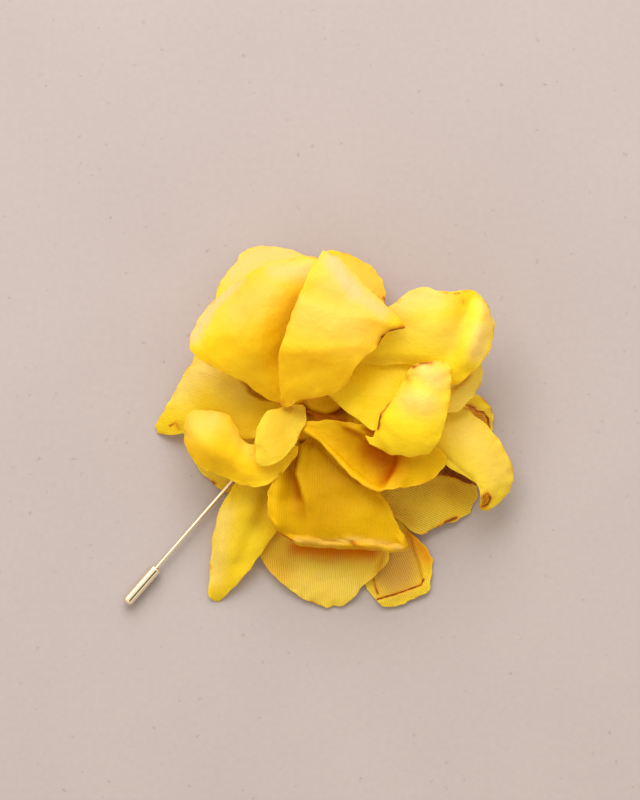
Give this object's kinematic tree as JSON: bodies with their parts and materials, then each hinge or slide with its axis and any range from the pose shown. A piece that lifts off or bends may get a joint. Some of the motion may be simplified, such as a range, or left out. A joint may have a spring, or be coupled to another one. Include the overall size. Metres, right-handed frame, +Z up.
{
  "type": "flower brooch",
  "caption": "Stick-pin brooch with a loose flower of sheer yellow fabric petals on a thin gold pin that ends in a pull-off clutch, lying on its back.",
  "frame": {"origin": "centre of the bounding box, on the surface that the brooch lies on", "axes": "+Z up out of the flower's face, +X to the viewer's right and +Y towards the flower's top, seen from straight above with the clutch at the lower left"},
  "size_m": [0.091, 0.0843, 0.0292],
  "materials": {
    "petal_cloth": "sheer woven chiffon with heat-singed edges",
    "backing_felt": "pressed felt",
    "gold_metal": "polished pale gold plate"
  },
  "bodies": {
    "flower": {"petal_top_front": "petal_cloth", "petal_top_left": "petal_cloth", "petal_top_back_left": "petal_cloth", "petal_top_back_right": "petal_cloth", "petal_upper_right": "petal_cloth", "petal_inner_right": "petal_cloth", "petal_right_cup": "petal_cloth", "petal_right_tuck": "petal_cloth", "petal_right_curl": "petal_cloth", "petal_right_lower": "petal_cloth", "petal_center_trough": "petal_cloth", "petal_center_under": "petal_cloth", "petal_bottom_center": "petal_cloth", "petal_lower_sheer": "petal_cloth", "petal_bottom_sheer": "petal_cloth", "petal_bottom_fold": "petal_cloth", "petal_lower_left": "petal_cloth", "petal_left_curl": "petal_cloth", "petal_heart_left": "petal_cloth", "petal_heart_dark": "petal_cloth", "petal_left_back": "petal_cloth", "petal_left_sheer": "petal_cloth", "backing": "backing_felt", "pin": "gold_metal"},
    "clutch_body": {"clutch": "gold_metal"}
  },
  "joints": [
    {"name": "clutch_slide", "type": "slide", "parent": "flower", "child": "clutch_body", "axis": [-0.6586, -0.7523, -0.014], "range_m": [0, 0.022]}
  ]
}
